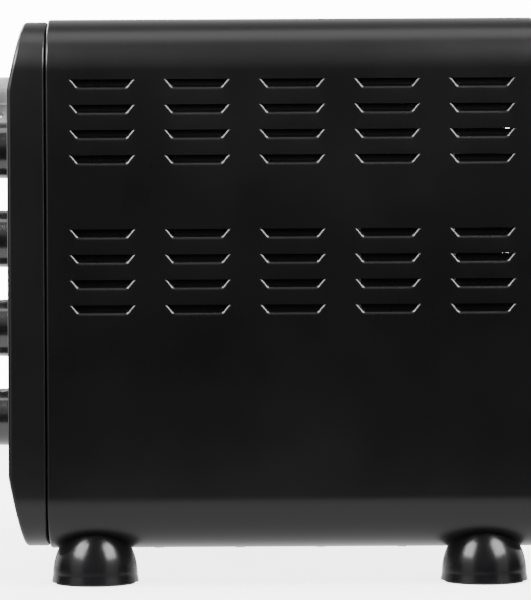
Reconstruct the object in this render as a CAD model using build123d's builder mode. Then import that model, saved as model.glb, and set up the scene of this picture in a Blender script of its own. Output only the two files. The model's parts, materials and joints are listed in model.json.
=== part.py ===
"""Countertop toaster oven: wrap-around louvred case, framed drop-down glass door and four rotary controls.

Row frame, millimetres: +X to the right seen from the front, +Y to the back, +Z up.
The origin is on the floor, under the middle of the whole oven, handle included.
"""

import os
from math import cos, radians, sin, sqrt

from build123d import *

os.makedirs("parts", exist_ok=True)

# ---------------------------------------------------------------- driving dimensions
case_width = 510.0
case_height = 344.5
case_depth = 314.0
foot_gap = 22.5  # floor to the underside of the case
corner_radius = 36.0
sheet = 0.8  # painted steel sheet
frame_depth = 25.0  # front frame, front plane to case
handle_reach = 41.0  # front plane to the front of the handle bar
seam = 0.4  # dark joint between front frame and case

back_head = 2.0  # the screw heads stand this far behind the case
total_depth = handle_reach + frame_depth + case_depth + back_head
case_rear = total_depth / 2 - back_head
case_front = case_rear - case_depth
front_y = case_front - frame_depth  # the flat front plane of the frame
case_bottom = foot_gap
case_top = foot_gap + case_height
case_mid_z = foot_gap + case_height / 2
half_width = case_width / 2

# front frame profile
frame_inset = 1.5  # the frame is this much smaller than the case all round
frame_wall = 2.5
frame_rounding = 2.8  # along the front edges of the frame
boss_length = 17.2  # screw posts behind the brow and the chin
bevel_height = 46.0  # height of the slanted brow and chin
bevel_slope = 0.2  # run back for each millimetre of height
frame_rear = case_front - seam
brow_z = case_top - frame_inset - bevel_height
chin_z = case_bottom + frame_inset + bevel_height

# door and its opening
door_centre_x = -58.0
door_width = 365.0
door_gap = 3.0
door_bottom = 75.0
door_top = 347.0
door_recess = 0.5
door_depth = 18.0  # front plane to the rear of the door
door_wall = 2.0
hinge_y = front_y + 8.0
hinge_z = door_bottom + 10.0
hinge_pin_radius = 2.5
running_gap = 0.05

# cavity
cavity_left = -233.0
cavity_right = 117.0
cavity_top = 330.0
cavity_floor = 52.0
cavity_back = 166.0
chassis_y = case_front + sheet  # front face of the chassis plate
mouth_bottom = 70.0

# controls
control_x = 190.0
control_z = [284.0, 225.0, 166.0, 107.0]
control_names = ["upper_heat", "lower_heat", "function", "timer"]
shaft_radius = 3.0
knob_radius = 19.0

# louvres
louvre_length = 40.6  # along its top edge
louvre_height = 5.6
louvre_depth = 3.2
louvre_slant = 4.6  # how far each end slants in over the height
louvre_pitch_y = 61.0
louvre_pitch_z = 16.2
louvre_first_y = -88.8
louvre_rows = [322.5, 226.4]  # centre height of the first louvre in each block
louvre_corner = 2.2  # rounding of the two lower corners
louvre_rim = 2.4  # the sheet rolls into the pocket on this radius

# feet
foot_x = half_width - 28.5
foot_y = [-96.0, 156.8]
foot_radius = 27.5  # where the upright foot of the side ends
foot_flare = 0.8  # the underside is this much larger
foot_crown_radius = 40.8  # the side of the dome curves over on this radius
foot_screw_x = foot_x - 13

# fixings
case_hem = 4.0  # inward hem at the front edge of the case
case_flange = 10.0  # inward flange at the rear of the case, for the back panel
lip_width = 50.0  # bottom lip of the case each side, which carries the base plate
base_screw_x = half_width - lip_width + 6
base_screw_y = [-55.0 + 53 * i for i in range(4)]
back_screws = [
    (x, case_mid_z + side * (case_height / 2 - 6)) for side in (1, -1) for x in (-180, 0, 180)
]
back_screws += [(side * (half_width - 6), case_mid_z + z) for side in (1, -1) for z in (-80, 80)]


def export(builder, label):
    """Labels a finished piece and writes its STEP file."""
    builder.part.label = label
    export_step(builder.part, f"parts/{label}.step")


def facing(y):
    """A plane at depth y, seen from the front: local x is X, local y is Z."""
    return Plane.XZ.offset(-y)


def across(x):
    """A plane at x, seen from the right: local x is Y, local y is Z."""
    return Plane.YZ.offset(x)


def box_between(x0, x1, y0, y1, z0, z1, mode=Mode.ADD):
    """A box given by its two limits along each axis."""
    with Locations(((x0 + x1) / 2, (y0 + y1) / 2, (z0 + z1) / 2)):
        Box(x1 - x0, y1 - y0, z1 - z0, mode=mode)


def rod_along(plane, points, radius, length, mode=Mode.ADD):
    """Round rods of one radius from a plane, at its local points, along its normal."""
    with Locations(*[plane.location * Location((x, y, 0)) for x, y in points]):
        Cylinder(radius, length, align=(Align.CENTER, Align.CENTER, Align.MIN), mode=mode)


# ---------------------------------------------------------------- outer case
def louvre_prism(grow, depth):
    """The pressed pocket of a louvre, opening at z 0: slanted floor sides, square top edge."""
    taper = 32.0
    top, bottom = louvre_height / 2, -louvre_height / 2 - grow
    half = louvre_length / 2 + grow
    above = 12.0
    with BuildPart() as prism:
        with BuildSketch():
            with BuildLine():
                Polyline(
                    (-half - above * louvre_slant / louvre_height, top + above),
                    (half + above * louvre_slant / louvre_height, top + above),
                    (half - louvre_slant, bottom),
                    (-half + louvre_slant, bottom),
                    close=True,
                )
            make_face()
        extrude(amount=-depth, taper=taper)
        split(bisect_by=Plane.XZ.offset(-top), keep=Keep.TOP)
    return prism


def louvre_hollow():
    """The air of one louvre, with its rounded mouth and corners."""
    with BuildPart() as hollow:
        add(louvre_prism(0, louvre_depth).part)
        fillet(
            hollow.edges().filter_by(lambda e: abs(e.tangent_at(0).Z) > 0.3).group_by(Axis.Y)[0],
            louvre_corner,
        )
        with Locations((0, -1, 1)):
            Box(louvre_length + 6, louvre_height + 4, 2)
        mouth = hollow.edges().filter_by_position(Axis.Z, -0.01, 0.01)
        mouth = mouth.filter_by_position(Axis.Y, -louvre_height / 2 - 0.2, louvre_height / 2 - 0.2)
        fillet(mouth.filter_by(lambda e: abs(e.center().X) < louvre_length / 2), louvre_rim)
    return hollow


def louvre_places():
    """One plane for each louvre, on both side walls, local y up and normal outwards."""
    places = []
    for side in (1, -1):
        for column in range(5):
            for first_z in louvre_rows:
                for row in range(4):
                    y = louvre_first_y + column * louvre_pitch_y
                    z = first_z - row * louvre_pitch_z
                    places.append(
                        Plane(origin=(side * half_width, y, z), x_dir=(0, side, 0), z_dir=(side, 0, 0))
                    )
    return places


base_screw_places = [(side * base_screw_x, y) for side in (1, -1) for y in base_screw_y]
foot_screw_places = [(side * foot_screw_x, y) for side in (1, -1) for y in foot_y]

with BuildPart() as outer_case:
    with BuildSketch(facing(case_rear)):
        with Locations((0, case_mid_z)):
            RectangleRounded(case_width, case_height, corner_radius)
    extrude(amount=case_depth)
    fillet(outer_case.faces().sort_by(Axis.Y)[0].outer_wire().edges(), 1.6)
    with BuildSketch(facing(case_rear - sheet)):
        with Locations((0, case_mid_z)):
            RectangleRounded(case_width - 2 * sheet, case_height - 2 * sheet, corner_radius - sheet)
    extrude(amount=case_depth - 2 * sheet, mode=Mode.SUBTRACT)
    for y, hem in ((case_front + sheet, case_hem), (case_rear, case_flange)):
        with BuildSketch(facing(y)):
            with Locations((0, case_mid_z)):
                RectangleRounded(
                    case_width - 2 * hem, case_height - 2 * hem, max(corner_radius - hem, 3)
                )
        extrude(amount=sheet, mode=Mode.SUBTRACT)
    box_between(
        -half_width + lip_width, half_width - lip_width, case_front, case_rear,
        case_bottom - 1, case_bottom + case_flange, mode=Mode.SUBTRACT,
    )
    rod_along(Plane.XY.offset(case_bottom), base_screw_places, 1.6, 2 * sheet, mode=Mode.SUBTRACT)
    rod_along(Plane.XY.offset(case_bottom), foot_screw_places, 2.1, 2 * sheet, mode=Mode.SUBTRACT)
    rod_along(facing(case_rear), back_screws, 1.6, 2 * sheet, mode=Mode.SUBTRACT)
    louvre_metal = louvre_prism(sheet * 1.3, louvre_depth + sheet).part
    louvre_air = louvre_hollow().part
    add([plane.location * louvre_metal for plane in louvre_places()])
    add([plane.location * louvre_air for plane in louvre_places()], mode=Mode.SUBTRACT)
export(outer_case, "outer_case")

# ---------------------------------------------------------------- base plate and back panel
base_half_width = 218.0
base_z = case_bottom + sheet
vent_slot = (34.0, 4.0)

with BuildPart() as base_plate:
    box_between(
        -base_half_width, base_half_width, case_front + 3, case_rear - 3, base_z, base_z + sheet
    )
    with BuildSketch(Plane.XY.offset(base_z)):
        with GridLocations(56, 14, 6, 8):
            SlotOverall(*vent_slot)
        with Locations(*base_screw_places):
            Circle(1.6)
        with Locations(*foot_screw_places):
            Circle(2.1)
    extrude(amount=sheet, mode=Mode.SUBTRACT)
export(base_plate, "base_plate")

back_y = case_rear - 2 * sheet  # front face of the back panel
back_half = half_width - 3
gland_place = (196.0, 62.0)
gland_radius = 8.0

with BuildPart() as back_panel:
    with BuildSketch(facing(back_y + sheet)):
        with Locations((0, case_mid_z)):
            RectangleRounded(2 * back_half, case_height - 6, corner_radius - 3)
        for top_z in (316.0, 240.0, 164.0):
            with Locations(*[(x, top_z - 11 * row) for x in (-180, -120, -60, 0, 60) for row in range(4)]):
                SlotOverall(44, 4, mode=Mode.SUBTRACT)
        with Locations(*[(190, 316 - 11 * row) for row in range(8)]):
            SlotOverall(44, 4, mode=Mode.SUBTRACT)
        with Locations(gland_place):
            Circle(gland_radius, mode=Mode.SUBTRACT)
        with Locations(*back_screws):
            Circle(1.6, mode=Mode.SUBTRACT)
    extrude(amount=sheet)
export(back_panel, "back_panel")

with BuildPart() as cord_gland:
    with BuildSketch(facing(case_rear - 0.2)):
        with Locations(gland_place):
            Circle(gland_radius + 4)
    extrude(amount=sheet - 0.2)
    with BuildSketch(facing(case_rear - 0.2)):
        with Locations(gland_place):
            Circle(gland_radius - 0.1)
    extrude(amount=14)
    with BuildSketch(facing(back_y)):
        with Locations(gland_place):
            Circle(gland_radius + 3)
    extrude(amount=4)
    with BuildSketch(facing(case_rear)):
        with Locations(gland_place):
            Circle(3.6)
    extrude(amount=16, mode=Mode.SUBTRACT)
export(cord_gland, "cord_gland")


# ---------------------------------------------------------------- screws
def pan_screw(head_radius, head_height, shank_radius, shank_length):
    """A pan-head screw along +Z: the head stands on z 0 and the shank runs down."""
    with BuildPart() as screw:
        Cylinder(head_radius, head_height, align=(Align.CENTER, Align.CENTER, Align.MIN))
        fillet(screw.faces().sort_by(Axis.Z)[-1].edges(), head_height * 0.45)
        with Locations((0, 0, head_height)):
            Box(head_radius * 1.1, 0.8, head_height, mode=Mode.SUBTRACT)
            Box(0.8, head_radius * 1.1, head_height, mode=Mode.SUBTRACT)
        Cylinder(shank_radius, shank_length, align=(Align.CENTER, Align.CENTER, Align.MAX))
    return screw.part


def screw_group(label, screw, planes):
    """Identical screws, one separate solid for each plane, written as one node."""
    with BuildPart() as group:
        add([plane.location * screw for plane in planes])
    export(group, label)


outward_back = [Plane(origin=(x, case_rear, z), x_dir=(1, 0, 0), z_dir=(0, 1, 0)) for x, z in back_screws]
screw_group("back_screws", pan_screw(3.4, back_head, 1.5, 9), outward_back)
downward_base = [
    Plane(origin=(x, y, case_bottom), x_dir=(1, 0, 0), z_dir=(0, 0, -1)) for x, y in base_screw_places
]
screw_group("base_screws", pan_screw(3.4, 1.0, 1.5, 8), downward_base)

# ---------------------------------------------------------------- feet
foot_base = 1.4  # underside of the moulding, just above the floor
foot_straight = 6.0  # the lowest part of the side is straight, with a little draft
pad_outer, pad_height = 25.6, 2.4


def foot_dome():
    """The domed moulding, hollow from below, about its own axis with z 0 on the floor."""
    centre_r = foot_radius - foot_crown_radius
    crown = sqrt(foot_crown_radius**2 - centre_r**2)
    half_way = radians(32)
    with BuildPart() as dome:
        with BuildSketch(Plane.XZ):
            with BuildLine():
                Line((0, foot_base), (foot_radius + foot_flare, foot_base))
                Line((foot_radius + foot_flare, foot_base), (foot_radius, foot_straight))
                ThreePointArc(
                    (foot_radius, foot_straight),
                    (
                        centre_r + foot_crown_radius * cos(half_way),
                        foot_straight + foot_crown_radius * sin(half_way),
                    ),
                    (0, foot_straight + crown),
                )
                Line((0, foot_straight + crown), (0, foot_base))
            make_face()
        revolve(axis=Axis.Z)
        with BuildSketch(Plane.XY.offset(foot_base)):
            Circle(pad_outer)
        extrude(amount=pad_height - foot_base, mode=Mode.SUBTRACT)
    return dome.part


def case_envelope():
    """The outside of the case as one block, which the feet are cut to."""
    with BuildPart() as envelope:
        with BuildSketch(facing(case_rear)):
            with Locations((0, case_mid_z)):
                RectangleRounded(case_width, case_height, corner_radius)
        extrude(amount=case_depth)
    return envelope.part


foot_envelope = case_envelope()
for side, side_name in ((-1, "left"), (1, "right")):
    for y, end_name in zip(foot_y, ("front", "rear")):
        with BuildPart() as foot:
            with Locations((side * foot_x, y, 0)):
                add(foot_dome())
            with BuildSketch(Plane.XY.offset(foot_base)):
                with Locations((side * foot_x, y)):
                    Circle(18.5)
                with Locations((side * foot_screw_x, y)):
                    Circle(4.6, mode=Mode.SUBTRACT)
            extrude(amount=15, mode=Mode.SUBTRACT)
            with BuildSketch(Plane.XY.offset(foot_base)):
                with Locations((side * foot_screw_x, y)):
                    Circle(4.0)
            extrude(amount=12, mode=Mode.SUBTRACT)
            with BuildSketch(Plane.XY):
                with Locations((side * foot_screw_x, y)):
                    Circle(2.1)
            extrude(amount=case_bottom + 5, mode=Mode.SUBTRACT)
            add(foot_envelope, mode=Mode.SUBTRACT)
        export(foot, f"foot_{end_name}_{side_name}")

with BuildPart() as foot_pads:
    with BuildSketch(Plane.XY):
        with Locations(*[(side * foot_x, y) for side in (-1, 1) for y in foot_y]):
            Circle(pad_outer - 0.1)
    extrude(amount=pad_height)
export(foot_pads, "foot_pads")

foot_screw_seat = foot_base + 12
upward_feet = [
    Plane(origin=(x, y, foot_screw_seat), x_dir=(1, 0, 0), z_dir=(0, 0, -1))
    for x, y in foot_screw_places
]
screw_group("foot_screws", pan_screw(3.8, 2.2, 2.0, 17), upward_feet)


# ---------------------------------------------------------------- front frame and control fascia
window_left = door_centre_x - door_width / 2 - door_gap
window_right = door_centre_x + door_width / 2 + door_gap
window_bottom = door_bottom - door_gap
window_top = door_top + door_gap
window_radius = 10.0
return_wall = 2.0  # wall running back from the edge of an opening in the frame
fascia_half = (52.0, 118.0)  # half width and half height of the control fascia
fascia_z = 195.0
fascia_y = front_y + 0.6
fascia_thickness = 1.2
lamp_place = (control_x + 40, 301.0)
lamp_radius = 4.0
tray_left, tray_right = -229.0, 113.0
tray_gap = 2.0
frame_boss_places = [(x, z) for z in (356.5, 35.0) for x in (-205.0, 0.0, 205.0)]


def chin_y(z, recess=0.0):
    """Depth of the front surface of the frame at height z, on the flat front, brow or chin."""
    return front_y + recess + bevel_slope * max(chin_z - z, z - brow_z, 0)


def front_block(shrink, rear, recess=0.0):
    """The outer shape of the front frame as a block, every side but the rear set in by shrink."""
    bottom, top = case_bottom + frame_inset + shrink, case_top - frame_inset - shrink
    across_half = half_width - frame_inset - shrink
    front = recess + shrink
    with BuildPart() as block:
        with BuildSketch(across(0)):
            with BuildLine():
                Polyline(
                    (rear, bottom),
                    (chin_y(bottom, front), bottom),
                    (front_y + front, chin_z),
                    (front_y + front, brow_z),
                    (chin_y(top, front), top),
                    (rear, top),
                    close=True,
                )
            make_face()
        extrude(amount=across_half, both=True)
        with BuildSketch(facing(rear)):
            with Locations((0, case_mid_z)):
                RectangleRounded(2 * across_half, top - bottom, corner_radius - frame_inset - shrink)
        extrude(amount=rear - front_y + 2, mode=Mode.INTERSECT)
    return block


def rounded_opening(x0, x1, z0, z1, radius, mode=Mode.ADD):
    """A rounded rectangle in a sketch that faces the front, given by its limits."""
    with Locations(((x0 + x1) / 2, (z0 + z1) / 2)):
        RectangleRounded(x1 - x0, z1 - z0, radius, mode=mode)


with BuildPart() as frame_hollow:
    add(front_block(frame_wall, frame_rear + 1).part)
    with BuildSketch(facing(frame_rear + 1)):
        rounded_opening(
            window_left - return_wall, window_right + return_wall,
            window_bottom - return_wall, window_top + return_wall, window_radius + return_wall,
        )
        rounded_opening(
            control_x - fascia_half[0] - return_wall, control_x + fascia_half[0] + return_wall,
            fascia_z - fascia_half[1] - return_wall, fascia_z + fascia_half[1] + return_wall, 7,
        )
    extrude(amount=frame_depth, mode=Mode.SUBTRACT)

frame_outer = front_block(0, frame_rear)
with BuildPart() as front_frame:
    add(frame_outer.part)
    rear_loop = front_frame.faces().sort_by(Axis.Y)[-1].outer_wire().edges()
    fillet(rear_loop, 2.0)
    vertex_lines = front_frame.edges().filter_by(Axis.X).filter_by(
        lambda e: abs(e.center().Y - front_y) < 0.01
    )
    fillet(vertex_lines, 8.0)
    front_loop = front_frame.edges().filter_by(
        lambda e: e.center().Y < frame_rear - 9 and not (abs(e.tangent_at(0.5).Y) > 0.99)
    )
    front_loop = front_loop.filter_by(
        lambda e: abs(e.center().X) > half_width - 40 or abs(e.center().Z - case_mid_z) > 160
    )
    front_loop = front_loop.filter_by(
        lambda e: not (e.geom_type == GeomType.LINE and abs(e.tangent_at(0).X) > 0.99
                       and abs(e.center().Z - case_mid_z) < 140)
    )
    fillet(front_loop, frame_rounding)
    add(frame_hollow.part, mode=Mode.SUBTRACT)
    rod_along(facing(chassis_y), frame_boss_places, 3.5, boss_length)
    rod_along(facing(chassis_y), frame_boss_places, 1.3, 9, mode=Mode.SUBTRACT)
    with BuildSketch(facing(frame_rear + 1)):
        rounded_opening(window_left, window_right, window_bottom, window_top, window_radius)
        rounded_opening(
            control_x - fascia_half[0] + 5, control_x + fascia_half[0] - 5,
            fascia_z - fascia_half[1] + 5, fascia_z + fascia_half[1] - 5, 4,
        )
        rounded_opening(tray_left - tray_gap, tray_right + tray_gap, 46, 66, 2)
    extrude(amount=frame_depth + 3, mode=Mode.SUBTRACT)
    with BuildSketch(facing(fascia_y + fascia_thickness)):
        with Locations((control_x, fascia_z)):
            RectangleRounded(2 * fascia_half[0] + 0.2, 2 * fascia_half[1] + 0.2, 5.1)
    extrude(amount=4, mode=Mode.SUBTRACT)
    with BuildSketch(across(window_left - return_wall - 1)):
        with Locations((hinge_y, hinge_z)):
            Circle(hinge_pin_radius + 0.6)
    extrude(amount=window_right - window_left + 2 * return_wall + 2, mode=Mode.SUBTRACT)
export(front_frame, "front_frame")

with BuildPart() as control_fascia:
    with BuildSketch(facing(fascia_y + fascia_thickness)):
        with Locations((control_x, fascia_z)):
            RectangleRounded(2 * fascia_half[0], 2 * fascia_half[1], 5)
        with Locations(*[(control_x, z) for z in control_z]):
            Circle(shaft_radius + 1, mode=Mode.SUBTRACT)
        with Locations(lamp_place):
            Circle(lamp_radius, mode=Mode.SUBTRACT)
    extrude(amount=fascia_thickness)
export(control_fascia, "control_fascia")

with BuildPart() as indicator_lens:
    rod_along(facing(fascia_y), [lamp_place], lamp_radius + 1.5, 1.0)
    fillet(indicator_lens.faces().sort_by(Axis.Y)[0].edges(), 0.6)
    rod_along(facing(fascia_y + 8), [lamp_place], lamp_radius - 0.1, 8)
export(indicator_lens, "indicator_lens")

# ---------------------------------------------------------------- chassis, cavity and heat shield
bush_radius = 4.9
arm_radii = (56.0, 64.0)  # inner and outer radius of the door arms about the hinge
arm_left, arm_right = -238.4, 120.4  # left faces of the two arms
arm_thickness = 2.0
hook_angle = -25.5  # where the arms end in their hooks, in degrees from +Y about the hinge
arm_slot_z = (hinge_z + 51.5, hinge_z + 64)
chassis_rear = chassis_y + sheet
duct_x = 138.0  # heat shield between the cavity and the controls

with BuildPart() as chassis_plate:
    with BuildSketch(facing(chassis_rear)):
        with Locations((0, case_mid_z)):
            inner = sheet + 0.3
            RectangleRounded(case_width - 2 * inner, case_height - 2 * inner, corner_radius - inner)
        rounded_opening(cavity_left, cavity_right, mouth_bottom, cavity_top, 6, mode=Mode.SUBTRACT)
        rounded_opening(
            tray_left - tray_gap, tray_right + tray_gap, cavity_floor, 65, 1, mode=Mode.SUBTRACT
        )
        for x in (arm_left, arm_right):
            rounded_opening(x - 1.2, x + arm_thickness + 1.2, *arm_slot_z, 1, mode=Mode.SUBTRACT)
        with Locations(*[(control_x, z) for z in control_z]):
            Circle(bush_radius + 0.1, mode=Mode.SUBTRACT)
        with Locations(lamp_place):
            Circle(lamp_radius + 0.1, mode=Mode.SUBTRACT)
        with Locations(*frame_boss_places):
            Circle(1.6, mode=Mode.SUBTRACT)
    extrude(amount=sheet)
export(chassis_plate, "chassis_plate")

forward_frame = [
    Plane(origin=(x, chassis_rear, z), x_dir=(1, 0, 0), z_dir=(0, 1, 0)) for x, z in frame_boss_places
]
screw_group("frame_screws", pan_screw(3.2, 1.8, 1.25, 8), forward_frame)

with BuildPart() as cavity_wrap:
    box_between(
        cavity_left, cavity_right, chassis_rear, cavity_back + sheet,
        cavity_floor - sheet, cavity_top + sheet,
    )
    box_between(
        cavity_left, cavity_right, chassis_rear, cavity_back,
        cavity_floor, cavity_top, mode=Mode.SUBTRACT,
    )
    for z in (130, 232):  # stiffening swages pressed into the back wall
        box_between(
            cavity_left + 25, cavity_right - 25, cavity_back - 3, cavity_back, z - 6, z + 6
        )
        box_between(
            cavity_left + 26, cavity_right - 26, cavity_back - 2.2, cavity_back + sheet, z - 5, z + 5,
            mode=Mode.SUBTRACT,
        )
export(cavity_wrap, "cavity_wrap")

rack_levels = [130.0, 181.0, 232.0]  # top faces of the rack shelves
rack_rail_radius = 2.5
shelf_width = 8.0
element_y = [-50.0, 90.0]
element_z = [92.0, 312.0]
element_radius = 3.5
element_places = [(y, z) for z in element_z for y in element_y]
for name, wall_x, inward in (
    ("cavity_side_left", cavity_left - sheet, 1), ("cavity_side_right", cavity_right + sheet, -1),
):
    inner_face = wall_x + inward * sheet
    with BuildPart() as side_wall:
        box_between(
            min(wall_x, inner_face), max(wall_x, inner_face), chassis_rear, cavity_back + sheet,
            cavity_floor - sheet, cavity_top + sheet,
        )
        tip = inner_face + inward * shelf_width
        for level in rack_levels:  # a lower shelf and an upper guide at each level
            for z0 in (level - sheet, level + 2 * rack_rail_radius + 1):
                box_between(
                    min(inner_face, tip), max(inner_face, tip), chassis_rear + 6, cavity_back - 8,
                    z0, z0 + sheet,
                )
        rod_along(
            Plane.YZ.offset(min(wall_x, inner_face)), element_places, 5.1, sheet, mode=Mode.SUBTRACT
        )
    export(side_wall, name)

with BuildPart() as heat_shield:
    box_between(duct_x, duct_x + sheet, chassis_rear, case_rear - 12, base_z + sheet, case_top - 6)
    box_between(
        duct_x, duct_x + 12, chassis_rear, case_rear - 12, base_z + sheet, base_z + 2 * sheet
    )
    with BuildSketch(Plane.YZ.offset(duct_x)):
        with Locations((40, 200)):
            with GridLocations(26, 14, 6, 5):
                SlotOverall(16, 4)
    extrude(amount=sheet, mode=Mode.SUBTRACT)
export(heat_shield, "heat_shield")

# ---------------------------------------------------------------- heating elements
element_left, element_right = cavity_left - 11, cavity_right + 11
for z, name in zip(element_z, ("elements_lower", "elements_upper")):
    tube_places = [(y, z) for y in element_y]
    with BuildPart() as elements:
        rod_along(across(element_left), tube_places, element_radius, element_right - element_left)
        rod_along(across(element_left - 5), tube_places, 1.5, element_right - element_left + 10)
    export(elements, name)

with BuildPart() as element_insulators:
    for y, z in element_places:
        for x, outward in ((cavity_left - sheet, -1), (cavity_right + sheet, 1)):
            flange = Plane(origin=(x, y, z), x_dir=(0, 1, 0), z_dir=(outward, 0, 0))
            with BuildPart(flange, mode=Mode.PRIVATE) as insulator:
                Cylinder(8, 2.5, align=(Align.CENTER, Align.CENTER, Align.MIN))
                Cylinder(5.0, 8, align=(Align.CENTER, Align.CENTER, Align.MIN))
                with Locations((0, 0, -sheet - 1)):
                    Cylinder(5.0, sheet + 1, align=(Align.CENTER, Align.CENTER, Align.MIN))
                Cylinder(element_radius, 40, mode=Mode.SUBTRACT)
            add(insulator.part)
export(element_insulators, "element_insulators")

# ---------------------------------------------------------------- control devices and knobs
device_sizes = {
    "upper_heat": (36.0, 32.0, 16.0),
    "lower_heat": (36.0, 32.0, 16.0),
    "function": (40.0, 30.0, 22.0),
    "timer": (50.0, 46.0, 28.0),
}
device_labels = {
    "upper_heat": "thermostat_upper",
    "lower_heat": "thermostat_lower",
    "function": "function_switch",
    "timer": "timer",
}
nut_thickness = 2.4
bush_front = chassis_y - 7.0
knob_rear = fascia_y - 1.0
knob_length = 24.0
knob_front = knob_rear - knob_length
shaft_front = knob_front + 5.0
flat_depth = 1.2  # the D flat of the shaft
shaft_rear = chassis_rear + 10.0

for control, z in zip(control_names, control_z):
    width, height, depth = device_sizes[control]
    with BuildPart() as device:
        with BuildSketch(facing(chassis_rear + depth)):
            with Locations((control_x, z)):
                RectangleRounded(width, height, 3)
        extrude(amount=depth)
        with BuildSketch(facing(chassis_rear + depth + 7)):
            with Locations((control_x, z)):
                with GridLocations(width - 14, height - 14, 2, 2):
                    Rectangle(6.3, 0.8)
        extrude(amount=8)
        rod_along(facing(chassis_rear + 2), [(control_x, z)], bush_radius, chassis_rear + 2 - bush_front)
        rod_along(
            facing(shaft_rear), [(control_x, z)], shaft_radius + running_gap,
            shaft_rear - bush_front, mode=Mode.SUBTRACT,
        )
    export(device, device_labels[control])

with BuildPart() as control_nuts:
    for z in control_z:
        with BuildSketch(facing(chassis_y)):
            with Locations((control_x, z)):
                RegularPolygon(8, 6)
                Circle(bush_radius, mode=Mode.SUBTRACT)
        extrude(amount=nut_thickness)
export(control_nuts, "control_nuts")

bell_axis = Plane(
    origin=(control_x, chassis_rear + device_sizes["timer"][2], control_z[3]),
    x_dir=(1, 0, 0), z_dir=(0, 1, 0),
)
with BuildPart(bell_axis) as timer_bell:
    Cylinder(19, 8, align=(Align.CENTER, Align.CENTER, Align.MIN))
    fillet(timer_bell.faces().sort_by(Axis.Y)[-1].edges(), 6)
    for radius, depth in ((17.8, 1.5), (12.5, 7)):
        Cylinder(radius, depth, align=(Align.CENTER, Align.CENTER, Align.MIN), mode=Mode.SUBTRACT)
    Cylinder(2.5, 8, align=(Align.CENTER, Align.CENTER, Align.MIN))
export(timer_bell, "timer_bell")

for control, z in zip(control_names, control_z):
    with BuildPart() as shaft:
        rod_along(facing(shaft_rear - 0.5), [(control_x, z)], shaft_radius, shaft_rear - 0.5 - shaft_front)
        box_between(
            control_x - 4, control_x + 4, shaft_front, shaft_front + 14,
            z + shaft_radius - flat_depth, z + shaft_radius + 1, mode=Mode.SUBTRACT,
        )
    export(shaft, f"shaft_{control}")
    with BuildPart() as knob:
        with BuildSketch(facing(knob_rear)):
            with Locations((control_x, z)):
                Circle(knob_radius)
        extrude(amount=knob_length - 8, taper=1.5)
        skirt_front = knob_rear - (knob_length - 8)
        fillet(knob.faces().sort_by(Axis.Y)[0].edges(), 2.0)
        with BuildSketch(facing(skirt_front + 3)):
            with Locations((control_x, z)):
                SlotOverall(2 * knob_radius - 4, 9, rotation=90)
        extrude(amount=11, taper=4)
        fillet(knob.faces().sort_by(Axis.Y)[0].edges(), 1.2)
        box_between(
            control_x - 0.7, control_x + 0.7, knob_front - 1, knob_front + 0.6,
            z + 4, z + knob_radius - 4, mode=Mode.SUBTRACT,
        )
        rod_along(facing(knob_rear), [(control_x, z)], knob_radius - 2.5, 10, mode=Mode.SUBTRACT)
        rod_along(facing(knob_rear), [(control_x, z)], shaft_radius + 2.5, 10)
        with BuildSketch(facing(knob_rear)):
            with Locations((control_x, z)):
                Circle(shaft_radius)
            with Locations((control_x, z + shaft_radius - flat_depth + 4)):
                Rectangle(8, 8, mode=Mode.SUBTRACT)
        extrude(amount=knob_rear - shaft_front, mode=Mode.SUBTRACT)
        rod_along(
            facing(knob_rear), [(control_x, z)], shaft_radius,
            knob_rear - shaft_front - 14, mode=Mode.SUBTRACT,
        )
    export(knob, f"knob_{control}")

with BuildPart() as terminal_block:
    box_between(160, 202, 120, 138, base_z + sheet, base_z + sheet + 14)
    with BuildSketch(Plane.XY.offset(base_z + sheet + 14)):
        with Locations(*[(167 + 14 * i, 129 + side * 5) for i in range(3) for side in (-1, 1)]):
            Circle(2.2)
    extrude(amount=-5, mode=Mode.SUBTRACT)
export(terminal_block, "terminal_block")

with BuildPart() as indicator_lamp:
    rod_along(facing(chassis_rear + 12), [lamp_place], lamp_radius + 2, 12)
    rod_along(facing(chassis_rear), [lamp_place], lamp_radius, chassis_rear - (fascia_y + 8))
export(indicator_lamp, "indicator_lamp")

# ---------------------------------------------------------------- door
door_left = door_centre_x - door_width / 2
door_right = door_centre_x + door_width / 2
door_rear = front_y + door_depth
door_face_wall = front_y + door_recess + door_wall  # inner face of the front wall
glass_thickness = 4.0
glass_x, glass_z = (-215.0, 99.0), (98.0, 306.0)
view_x, view_z = (-205.0, 89.0), (108.0, 298.0)
retainer_screw_places = [(x, z) for x in (-221.5, 105.5) for z in (112.0, 292.0)]
panel_screw_places = [(x, z) for x in (-231.0, 115.0) for z in (101.0, 333.0)]
panel_y = door_rear - 1.6  # front face of the inner panel
glass_rear = door_face_wall + glass_thickness
handle_radius = 9.0
handle_y = front_y - handle_reach + handle_radius
handle_z = 333.0
handle_half = 132.0
bracket_offset = 110.0
bracket_half = 8.0
toe_screw_z = 316.0


def door_block(shrink, rear):
    """The outer shape of the door as a block, every side but the rear set in by shrink."""
    bottom, top = door_bottom + shrink, door_top - shrink
    front = door_recess + shrink
    with BuildPart() as block:
        with BuildSketch(across(door_left + shrink)):
            with BuildLine():
                Polyline(
                    (rear, bottom),
                    (front_y + front, bottom),
                    (front_y + front, brow_z),
                    (chin_y(top, front), top),
                    (rear, top),
                    close=True,
                )
            make_face()
        extrude(amount=door_width - 2 * shrink)
        with BuildSketch(facing(rear)):
            rounded_opening(door_left + shrink, door_right - shrink, bottom, top, 7 - shrink)
        extrude(amount=rear - front_y + 2, mode=Mode.INTERSECT)
    return block


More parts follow.
